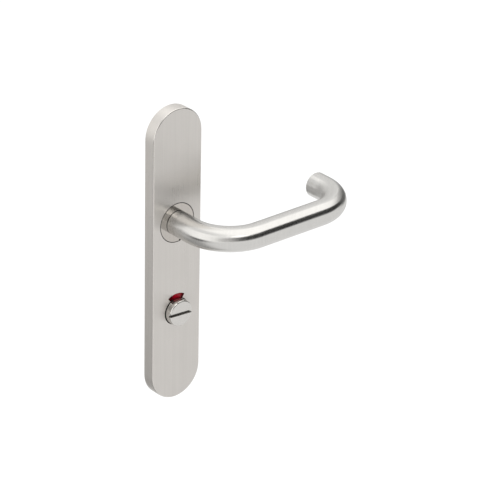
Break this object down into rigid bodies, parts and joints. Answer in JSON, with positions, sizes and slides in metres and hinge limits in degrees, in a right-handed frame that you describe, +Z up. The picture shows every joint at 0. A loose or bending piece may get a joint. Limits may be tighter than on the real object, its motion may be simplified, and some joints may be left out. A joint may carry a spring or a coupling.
{
  "type": "door lever handle set",
  "caption": "Long-plate door lever with a returned tube grip and a coin-slot release with a coloured indicator window.",
  "frame": {"origin": "on the lever's spindle axis, on the plane of the door's face that the plate lies on", "axes": "+X along the lever, +Z up, +Y into the door, so that the plate and the lever lie on the -Y side"},
  "size_m": [0.1535, 0.0925, 0.234],
  "materials": {
    "satin_steel": "satin stainless steel, brushed along the plate",
    "polished_disc_steel": "fine satin stainless steel, smoother than the plate",
    "satin_tube_steel": "satin stainless tube, brushed along its length",
    "satin_knob_steel": "satin stainless steel, turned",
    "bright_steel": "machined steel",
    "dark_steel": "blackened steel",
    "zinc_steel": "zinc-plated steel",
    "spring_steel": "spring steel",
    "black_nylon": "glass-filled nylon, black",
    "red_enamel": "glossy red",
    "green_enamel": "glossy green"
  },
  "bodies": {
    "plate": {"cover_plate": "satin_steel", "rose_disc": "polished_disc_steel", "neck_bush": "black_nylon", "base_plate": "black_nylon", "support_posts": "zinc_steel", "bearing_screws": "zinc_steel", "cover_clips": "spring_steel", "return_spring": "spring_steel", "detent_spring": "spring_steel"},
    "lever": {"lever_tube": "satin_tube_steel", "lever_end_cap": "satin_tube_steel", "neck_socket": "bright_steel", "lever_grub_screw": "dark_steel", "lever_spindle": "zinc_steel", "spring_driver": "dark_steel", "thrust_washer": "bright_steel", "lever_circlip": "spring_steel"},
    "release": {"release_knob": "satin_knob_steel", "indicator_disc": "black_nylon", "occupied_segment": "red_enamel", "vacant_segment": "green_enamel", "detent_cam": "dark_steel", "release_washer": "bright_steel", "release_circlip": "spring_steel", "release_spindle": "zinc_steel"}
  },
  "joints": [
    {"name": "lever_turn", "type": "hinge", "parent": "plate", "child": "lever", "pos_m": [0, 0, 0], "axis": [0, 1, 0], "range_deg": [0, 45], "stiffness_Nm_per_rad": 0.6, "springref_deg": -34.38, "deforming": ["return_spring"]},
    {"name": "release_turn", "type": "hinge", "parent": "plate", "child": "release", "pos_m": [0, 0, -0.072], "axis": [0, 1, 0], "range_deg": [0, 90], "deforming": ["detent_spring"]}
  ]
}
